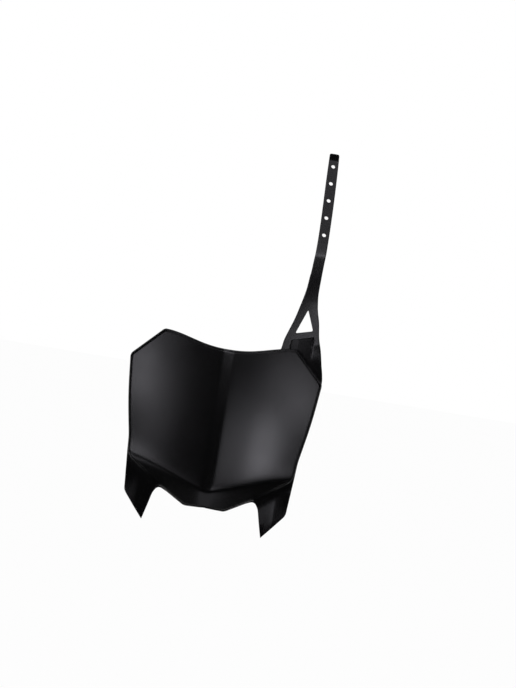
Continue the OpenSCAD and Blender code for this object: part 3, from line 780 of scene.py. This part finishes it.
def ribbonMesh(s):
    # rows across the ribbon, closest together at the pocket and at the bends
    o = outline
    bend, tip = bendHeights(s)
    top = o["hornHeight"] + s["pocketTop"]
    heights = np.unique(np.round(np.concatenate((
        np.arange(o["cornerHeight"] - 17, top - 3, 1.5), np.arange(top - 3, top + 3, 0.3),
        np.arange(top + 3, s["leanHeight"] - 8, 2.0), np.arange(s["leanHeight"] - 8, s["leanHeight"] + 8, 1.0),
        np.arange(s["leanHeight"] + 8, bend - 5, 3.0), np.arange(bend - 5, tip - s["tipRound"], 0.6),
        tip - s["tipRound"] * (1 - np.sin(np.linspace(0, math.pi / 2, 9))))), 4))
    left, right = ribbonEdges(s, o)
    e = s["edgeRound"]
    arc = np.radians(np.linspace(0, 90, 5))
    rim = np.stack((e * (1 - np.sin(arc)), e * (1 - np.cos(arc))), axis=1)[::-1]
    shares = np.linspace(0.0, 1.0, 61)
    places = []
    for back in (False, True):
        for z in heights:
            l, r = float(softLine(left, np.array([z]))[0]), float(softLine(right, np.array([z]))[0])
            inner = mix(l + e, r - e, shares)
            x = np.concatenate((l + rim[:-1, 0], inner, (r - rim[:-1, 0])[::-1]))
            drop = np.concatenate((rim[:-1, 1], np.zeros(len(inner)), rim[:-1, 1][::-1]))
            slope = leanAt(s, z + 0.5) - leanAt(s, z - 0.5)
            y = earDepth(s, x, z) + pocketAt(s, x, z)
            y = y + s["thickness"] * math.sqrt(1 + slope * slope) - drop if back else y + drop
            places.append(np.stack((x, y, z + tiltAt(s, x, z)), axis=1))
    wide, count = len(places[0]), len(heights)
    points = np.concatenate(places)
    faces = []

    def spot(row, k, back):
        return row * wide + k + (wide * count if back else 0)

    for row in range(count - 1):
        for k in range(wide - 1):
            faces.append((spot(row, k, 0), spot(row, k + 1, 0), spot(row + 1, k + 1, 0), spot(row + 1, k, 0)))
            faces.append((spot(row, k + 1, 1), spot(row, k, 1), spot(row + 1, k, 1), spot(row + 1, k + 1, 1)))
        faces.append((spot(row, 0, 1), spot(row, 0, 0), spot(row + 1, 0, 0), spot(row + 1, 0, 1)))
        last = wide - 1
        faces.append((spot(row, last, 0), spot(row, last, 1), spot(row + 1, last, 1), spot(row + 1, last, 0)))
    for k in range(wide - 1):
        faces.append((spot(0, k, 1), spot(0, k + 1, 1), spot(0, k + 1, 0), spot(0, k, 0)))
        end = count - 1
        faces.append((spot(end, k, 0), spot(end, k + 1, 0), spot(end, k + 1, 1), spot(end, k, 1)))
    return points, faces


# Cutters with flared ends, so that every cut edge is left rounded: distance from the surface, widening.

flare = [(-12.0, 0.55), (0.0, 0.55), (0.08, 0.3), (0.3, 0.08), (0.55, 0.0)]


def windowCutter(s):
    top = outline["hornHeight"] + s["tiltAbove"] + s["frameBar"]
    lowLeft = point(s["middle"] - s["windowLeft"], top - 1.6)
    lowRight = lowLeft + point(s["windowWidth"], tangent(s["tilt"]) * s["windowWidth"])
    apex = lowLeft + point(s["windowApex"], s["windowHeight"] + 2.6)
    corners, ring = [apex, lowLeft, lowRight, apex, lowLeft], []
    for before, corner, after in zip(corners, corners[1:], corners[2:]):
        ring += turned(before, corner, after, s["windowRound"], 10)
    ring = np.array(ring)
    way = np.roll(ring, -1, axis=0) - np.roll(ring, 1, axis=0)
    normal = np.stack((way[:, 1], -way[:, 0]), axis=1)
    normal /= np.linalg.norm(normal, axis=1)[:, None]
    ring, normal = ring[::-1], normal[::-1]
    rings = []
    for back, spans in ((0, flare), (1, flare[::-1])):
        for inward, wider in spans:
            x, z = (ring + normal * wider).T
            z0 = z - tiltAt(s, x, z)
            y = earDepth(s, x, z0) + (s["thickness"] - inward if back else inward)
            rings.append(np.stack((x, y, z), axis=1))
    return loft(rings)


def drillCutter(s):
    angles = np.linspace(0, 2 * math.pi, 49)[:-1]
    h = s["thickness"] / 2
    rings = []
    for side, spans in ((-1, flare), (1, flare[::-1])):
        for inward, wider in spans:
            r = s["holeDiameter"] / 2 + wider
            rings.append(np.stack((r * np.cos(angles), r * np.sin(angles),
                                   np.full(len(angles), side * (h - inward))), axis=1))
    return loft(rings)


def loft(rings):
    n, count = len(rings[0]), len(rings)
    faces = [tuple(range(n - 1, -1, -1)), tuple(range((count - 1) * n, count * n))]
    faces += [(r * n + i, r * n + (i + 1) % n, (r + 1) * n + (i + 1) % n, (r + 1) * n + i)
              for r in range(count - 1) for i in range(n)]
    return np.concatenate(rings), faces


def holeLine(s):
    # the strap's middle line, from its tip end down, for the holes to follow
    bend, tip = bendHeights(s)
    low = s["leanHeight"] + 24.0
    z = np.linspace(bend, low - 6.0, 60)
    x = s["middle"] + s["shift"] - s["sway"] * np.maximum(0.0, z - low) / (tip - low)
    return np.stack((x, earDepth(s, x, z) + s["thickness"] / 2, z), axis=1)


def perforateTree(sizes, tilt):
    # drills a row of holes along the guide line, and cuts the frame's window out
    tree, given, result = newTree("perforateStrap", sizes)
    for key in ("Line", "Drill", "Window"):
        tree.interface.new_socket(key, in_out="INPUT", socket_type="NodeSocketObject")
    s = {key: Value(given.outputs[key]) for key in sizes}
    line, drill, window = (Value(addNode(tree, "GeometryNodeObjectInfo", {"transform_space": "RELATIVE"},
                                  {"Object": Value(given.outputs[key])}).outputs["Geometry"])
                    for key in ("Line", "Drill", "Window"))
    curve = Value(addNode(tree, "GeometryNodeMeshToCurve", None, {"Mesh": line}).outputs[0])
    length = s["End Distance"] + s["Hole Pitch"] * (s["Hole Count"] - 1.0)
    trimmed = addNode(tree, "GeometryNodeTrimCurve", {"mode": "LENGTH"}, {"Curve": curve})
    startLength, endLength = trimmed.inputs[4], trimmed.inputs[5]
    tree.links.new(s["End Distance"].socket, startLength)
    tree.links.new(length.socket, endLength)
    spots = addNode(tree, "GeometryNodeResampleCurve", {"mode": "COUNT"},
                    {"Curve": Value(trimmed.outputs[0]), "Count": s["Hole Count"]})
    drills = addNode(tree, "GeometryNodeInstanceOnPoints", None, {
        "Points": Value(spots.outputs[0]), "Instance": drill, "Rotation": tilt})
    drilled = addNode(tree, "GeometryNodeRealizeInstances", None, {"Geometry": Value(drills.outputs[0])})
    cut = addNode(tree, "GeometryNodeMeshBoolean", {"operation": "DIFFERENCE", "solver": "EXACT"},
                  {"Mesh 1": Value(given.outputs["Geometry"])})
    tree.links.new(drilled.outputs[0], cut.inputs["Mesh 2"])
    tree.links.new(window.socket, cut.inputs["Mesh 2"])
    scaled = addNode(tree, "GeometryNodeTransform", None, {"Geometry": Value(cut.outputs[0]), "Scale": (mm, mm, mm)})
    finishTree(tree, scaled.outputs[0], result)
    return tree


def makeStrap(s, holes):
    piece = meshObject("strap", *ribbonMesh(s))
    window = meshObject("windowCutter", *windowCutter(s))
    drill = meshObject("drillCutter", *drillCutter(s))
    lineMesh = bpy.data.meshes.new("holeLine")
    line = holeLine(s)
    lineMesh.from_pydata([tuple(p) for p in line], [(i, i + 1) for i in range(len(line) - 1)], [])
    guide = bpy.data.objects.new("holeLine", lineMesh)
    scene.collection.objects.link(guide)
    turn, lean = math.radians(s["turn"]), math.radians(-90 - s["lean"])
    tilt = Matrix.Rotation(turn, 3, "Z") @ Matrix.Rotation(lean, 3, "X")
    tree = perforateTree(holes, tuple(tilt.to_euler()))
    applyTree(piece, tree, {**holes, "Line": guide, "Drill": drill, "Window": window})
    for helper in (window, drill, guide):
        bpy.data.objects.remove(helper)
    smoothShade(piece, 35.0)
    return piece


strap = makeStrap(strapForm, holeForm)
print("strap is cut:", len(strap.data.polygons), "faces")


# Rear fixings, hidden from the front: lower tab with two gussets, and the stud that the strap buttons on.

tabForm = {"width": 22.0, "thickness": 4.0, "bore": 6.5, "sink": 1.44,
           "gusset": 3.0, "gussetRise": 20.0, "gussetRun": 22.0, "gussetTop": 1.6}
studForm = {"aside": 4.0, "above": 10.0, "diameter": 4.4, "head": 8.0, "length": 5.0, "headDepth": 2.0, "steps": 48}


def tabMesh(t):
    # the front edge follows the sheet, inside its wall
    halfWidth, h = t["width"] / 2, t["thickness"] / 2
    across = np.linspace(-halfWidth, halfWidth, 23)
    turns = np.radians(np.linspace(0, 180, 37))
    rings = []
    for z in (h, -h):
        front = np.stack((across, depthAt(across, z) + t["sink"]), axis=1)
        outer = np.concatenate((front, halfWidth * np.stack((np.cos(turns), np.sin(turns)), axis=1)))
        angles = np.arctan2(outer[:, 1], outer[:, 0])
        inner = t["bore"] / 2 * np.stack((np.cos(angles), np.sin(angles)), axis=1)
        rings += [(ring, z) for ring in (outer, inner)]
    n = len(rings[0][0])
    points = [(x, y, z) for ring, z in rings for x, y in ring]
    faces = []
    for i in range(n):
        j = (i + 1) % n
        faces += [(i, j, n + j, n + i), (2 * n + j, 2 * n + i, 3 * n + i, 3 * n + j),
                  (j, i, 2 * n + i, 2 * n + j), (n + i, n + j, 3 * n + j, 3 * n + i)]
    return points, faces


def gussetMesh(t, x):
    # its front follows the sheet, its back runs down to the tab
    root = [(float(depthAt(x + t["gusset"] / 2, z)) + t["sink"], z) for z in np.linspace(t["gussetRise"], 0.0, 11)]
    end = t["gussetRun"] + float(depthAt(t["width"] / 2, 0.0)) + t["sink"]
    side = root + [(end, 0.0), (root[0][0] + t["gussetTop"], t["gussetRise"])]
    n = len(side)
    points = [(x, y, z) for y, z in side] + [(x + t["gusset"], y, z) for y, z in side]
    faces = [tuple(range(n - 1, -1, -1)), tuple(range(n, 2 * n))]
    faces += [(i, (i + 1) % n, (i + 1) % n + n, i + n) for i in range(n)]
    return points, faces


def studMesh(t):
    # a turned profile of radius and distance behind the ear
    s = strapForm
    x, z = s["middle"] + t["aside"], outline["cornerHeight"] + t["above"]
    y = float(earDepth(s, x, z)) + s["thickness"] / 2
    r, head, neck = t["diameter"] / 2, t["head"] / 2, s["thickness"] / 2 + t["length"]
    root, end = neck - t["length"], neck + t["headDepth"]
    profile = [(0, 0), (r + 0.8, 0), (r + 0.8, root), (r + 0.25, root + 0.5), (r, root + 1.2),
               (r, neck - 0.2), (head - 0.35, neck), (head, neck + 0.35), (head - 0.15, neck + 0.8),
               (head - 1.0, end - 0.25), (head - 1.6, end), (0, end)]
    steps = t["steps"]
    points, faces = [], []
    for radius, away in profile:
        for i in range(steps):
            a = 2 * math.pi * i / steps
            points.append((x + radius * math.cos(a), y + away, z + radius * math.sin(a)))
    for k in range(len(profile) - 1):
        for i in range(steps):
            j = (i + 1) % steps
            faces.append((k * steps + i, k * steps + j, (k + 1) * steps + j, (k + 1) * steps + i))
    return points, faces


def makeSolid(name, points, faces, bevel):
    piece = meshObject(name, [Vector(p) * mm for p in points], faces)
    work = bmesh.new()
    work.from_mesh(piece.data)
    bmesh.ops.remove_doubles(work, verts=work.verts, dist=1e-7)
    bmesh.ops.dissolve_degenerate(work, dist=1e-8, edges=work.edges)
    bmesh.ops.recalc_face_normals(work, faces=work.faces)
    work.to_mesh(piece.data)
    work.free()
    if bevel:
        rounding = piece.modifiers.new("rounding", "BEVEL")
        rounding.width, rounding.segments = bevel * mm, 3
        rounding.limit_method, rounding.angle_limit = "ANGLE", math.radians(40)
        bakePiece(piece)
    piece.data.materials.append(blackPlastic)
    smoothShade(piece, 35.0)
    return piece


tab = makeSolid("lowerTab", *tabMesh(tabForm), 0.4)
gussets = [makeSolid("gusset" + side, *gussetMesh(tabForm, x), 0.4)
           for side, x in (("Left", -tabForm["width"] / 2), ("Right", tabForm["width"] / 2 - tabForm["gusset"]))]
stud = makeSolid("strapStud", *studMesh(studForm), 0)
print("rear fixings are made")

for piece in [moulding, strap, tab, *gussets, stud]:
    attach(piece, "root")
    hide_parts("number_board")


# Studio: pale floor and white backdrop, an unlit room in front, and softboxes placed by direction.

studio = {
    "floorHeight": -0.45, "floorSize": 16.0, "floorColor": (0.8, 0.8, 0.8, 1.0),
    "floorWhite": 0.98, "room": 0.013, "backdropStart": 0.2, "backdropSpan": 1.0 / 7.0,
    "skyStart": 0.75, "skySpan": 0.2,
    "lampColor": (0.985, 0.968, 1.047), "aim": (0.02, -0.02, 0.12),
}

# azimuth and elevation as seen from the board, 0 being straight ahead, distance in metres,
# width and height in degrees, brightness, and whether the plastic mirrors it
softboxes = {
    "rightCore": (41, -10, 1.7, 6, 13, 6.6),
    "rightHigh": (45, 5, 1.7, 12, 8, 1.35),
    "rightOuter": (51, 0, 1.7, 9, 8, 2.6),
    "rightInner": (29, -12, 1.7, 7, 18, 1.25),
    "rightMiddle": (35, -3, 1.7, 8, 14, 0.3),
    "rightLow": (46, -19, 1.65, 12, 7, 2.4),
    "rightLowest": (52, -26, 1.23, 14, 8, 1.0),
    "leftCore": (-54, 2, 1.7, 7, 11, 4.3),
    "leftInner": (-47, -3, 1.7, 7, 14, 1.4),
    "leftHigh": (-47, 12, 1.7, 8, 7, 0.95),
    "leftLow": (-53, -17, 1.7, 8, 6, 3.7),
    "leftLowest": (-61, -25, 1.28, 9, 7, 4.8),
    "earBox": (45, 18, 1.7, 14, 7, 0.8),
    "upperStrip": (5, 20, 1.7, 20, 8, 4.3),
    "topBox": (-10, 40, 1.7, 14, 20, 8.0),
    "topStrip": (14, 42, 1.7, 40, 10, 3.1),
    "ceilingBox": (0, 74, 1.7, 70, 34, 0.8),
    "lowLeftCard": (-86, -42, 0.81, 18, 12, 2.2),
    "lowRightCard": (22, -38, 0.88, 16, 16, 1.5),
    "legCard": (-46, -29, 1.1, 20, 12, 0.3),
    "floorCard": (0, -88, 0.54, 44, 20, 0.36),
    "mattFill": (0, 12, 2.5, 40, 30, 3.4, False),   # brings matt colour up to its plain level
}


def makeSurround(s):
    # white to the camera, dim to the plastic in front of the board and white behind it
    world = bpy.data.worlds.new("studioSurround")
    scene.world = world
    world.use_nodes = True
    tree = world.node_tree
    tree.nodes.clear()
    path = addNode(tree, "ShaderNodeLightPath")
    way = addNode(tree, "ShaderNodeSeparateXYZ", None,
                  {0: Value(addNode(tree, "ShaderNodeTexCoord").outputs["Generated"])})
    mirrored = Value(path.outputs["Is Glossy Ray"]).most(Value(path.outputs["Is Transmission Ray"]))
    low = (2.2 - Value(way.outputs["Z"]) * 4.0).ease()
    behind = ((Value(way.outputs["Y"]) - s["skyStart"]) / s["skySpan"]).ease() * low
    seen = Value(path.outputs["Is Camera Ray"]).most(mirrored * behind)
    light = addNode(tree, "ShaderNodeBackground", None, {
        "Color": (1.0, 1.0, 1.0, 1.0), "Strength": seen * (1.0 - s["room"]) + s["room"]})
    output = addNode(tree, "ShaderNodeOutputWorld")
    tree.links.new(light.outputs[0], output.inputs[0])


def makeFloor(s):
    # white to the camera and, behind the board, in the plastic; the matt share keeps the shadow
    size = s["floorSize"] / 2
    corners = [(x * size, y * size, s["floorHeight"]) for x, y in ((-1, -1), (1, -1), (1, 1), (-1, 1))]
    piece = meshObject("floor", corners, [(0, 1, 2, 3)])
    material = bpy.data.materials.new("paleFloor")
    material.use_nodes = True
    tree = material.node_tree
    tree.nodes.clear()
    path = addNode(tree, "ShaderNodeLightPath")
    place = addNode(tree, "ShaderNodeSeparateXYZ", None,
                    {0: Value(addNode(tree, "ShaderNodeTexCoord").outputs["Object"])})
    camera = Value(path.outputs["Is Camera Ray"])
    mirrored = Value(path.outputs["Is Glossy Ray"]).most(Value(path.outputs["Is Transmission Ray"]))
    behind = ((Value(place.outputs["Y"]) - s["backdropStart"]) / s["backdropSpan"]).ease()
    matt = addNode(tree, "ShaderNodeBsdfDiffuse", None, {"Color": s["floorColor"]})
    white = addNode(tree, "ShaderNodeEmission", None, {
        "Color": (1.0, 1.0, 1.0, 1.0), "Strength": camera.most(behind).most(s["room"])})
    both = addNode(tree, "ShaderNodeMixShader", None, {0: (camera * s["floorWhite"]).most(mirrored)})
    tree.links.new(matt.outputs[0], both.inputs[1])
    tree.links.new(white.outputs[0], both.inputs[2])
    output = addNode(tree, "ShaderNodeOutputMaterial")
    tree.links.new(both.outputs[0], output.inputs[0])
    piece.data.materials.append(material)


def makeSoftbox(name, azimuth, elevation, distance, width, height, bright, mirrored=True):
    turn, rise = math.radians(azimuth), math.radians(elevation)
    way = Vector((math.sin(turn) * math.cos(rise), -math.cos(turn) * math.cos(rise), math.sin(rise)))
    data = bpy.data.lights.new(name, "AREA")
    data.shape = "RECTANGLE"
    data.color = studio["lampColor"]
    data.size, data.size_y = (2 * distance * math.tan(math.radians(angle / 2)) for angle in (width, height))
    data.energy = bright * math.pi * data.size * data.size_y
    lamp = bpy.data.objects.new(name, data)
    facing = way.to_track_quat("Z", "Y").to_matrix().to_4x4()
    lamp.matrix_world = Matrix.Translation(Vector(studio["aim"]) + way * distance) @ facing
    lamp.visible_camera = False
    lamp.visible_glossy = mirrored
    scene.collection.objects.link(lamp)


makeSurround(studio)
makeFloor(studio)
for name, settings in softboxes.items():
    makeSoftbox(name, *settings)
scene.view_settings.view_transform = "Standard"
print("studio is lit")
